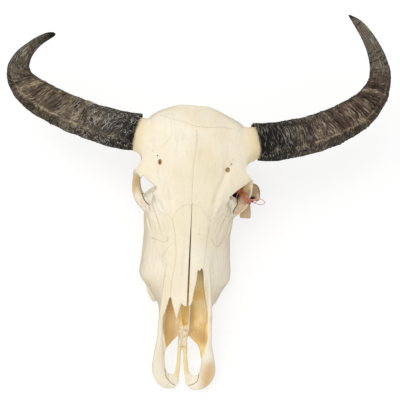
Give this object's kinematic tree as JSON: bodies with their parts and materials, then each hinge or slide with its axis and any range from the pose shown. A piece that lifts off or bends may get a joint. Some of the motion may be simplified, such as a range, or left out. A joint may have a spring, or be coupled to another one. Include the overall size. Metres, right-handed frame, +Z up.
{
  "type": "water buffalo skull",
  "caption": "Dry water buffalo skull without a lower jaw, with both dark horn sheaths and a small blank card tag on an elastic loop, lying on its cheek teeth.",
  "frame": {"origin": "bottom centre of the bounding box, on the plane that the skull lies on", "axes": "+Z up, +X towards the animal's left, +Y from the muzzle towards the crown"},
  "size_m": [0.7076, 0.6767, 0.2118],
  "materials": {
    "bone": "matte, bleached and slightly chalky",
    "horn": "satin, ridged across",
    "card": "matte kraft card",
    "elastic": "satin"
  },
  "bodies": {
    "root": {"cranium": "bone", "occipital_bone": "bone", "zygomatic_left": "bone", "zygomatic_right": "bone", "maxilla_left": "bone", "maxilla_right": "bone", "nasal_bone_left": "bone", "nasal_bone_right": "bone", "premaxilla_left": "bone", "premaxilla_right": "bone", "horn_left": "horn", "horn_right": "horn", "tag_card": "card", "tag_band": "elastic"}
  },
  "joints": []
}
